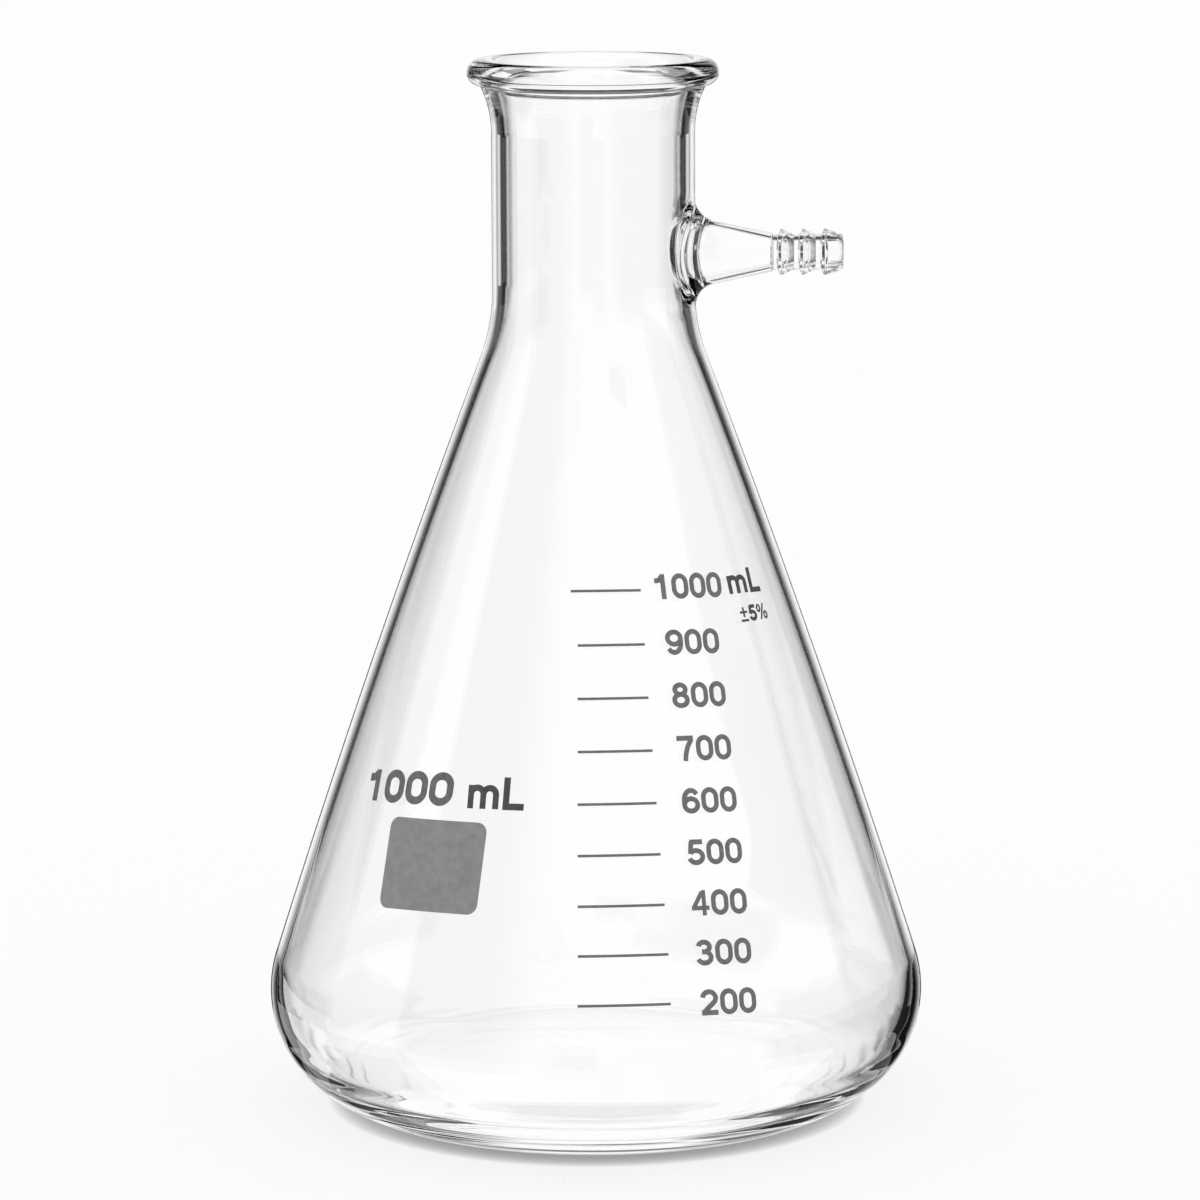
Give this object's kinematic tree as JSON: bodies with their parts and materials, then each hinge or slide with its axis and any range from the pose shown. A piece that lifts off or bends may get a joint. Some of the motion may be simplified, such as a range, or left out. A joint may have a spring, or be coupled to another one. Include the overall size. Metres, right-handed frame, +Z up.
{
  "type": "filter flask",
  "caption": "Conical filter flask of clear glass: rolled rim, straight neck, rounded heel, and a side arm with ridges for a vacuum hose.",
  "frame": {"origin": "centre of the standing ring, on the plane the flask stands on", "axes": "+Z up along the axis of the flask, +X along the side arm, the graduations face -Y"},
  "size_m": [0.135, 0.135, 0.215],
  "materials": {
    "glass": "clear borosilicate glass, fire polished",
    "enamel": "grey fired enamel print"
  },
  "bodies": {
    "root": {"flask": "glass"}
  },
  "joints": []
}
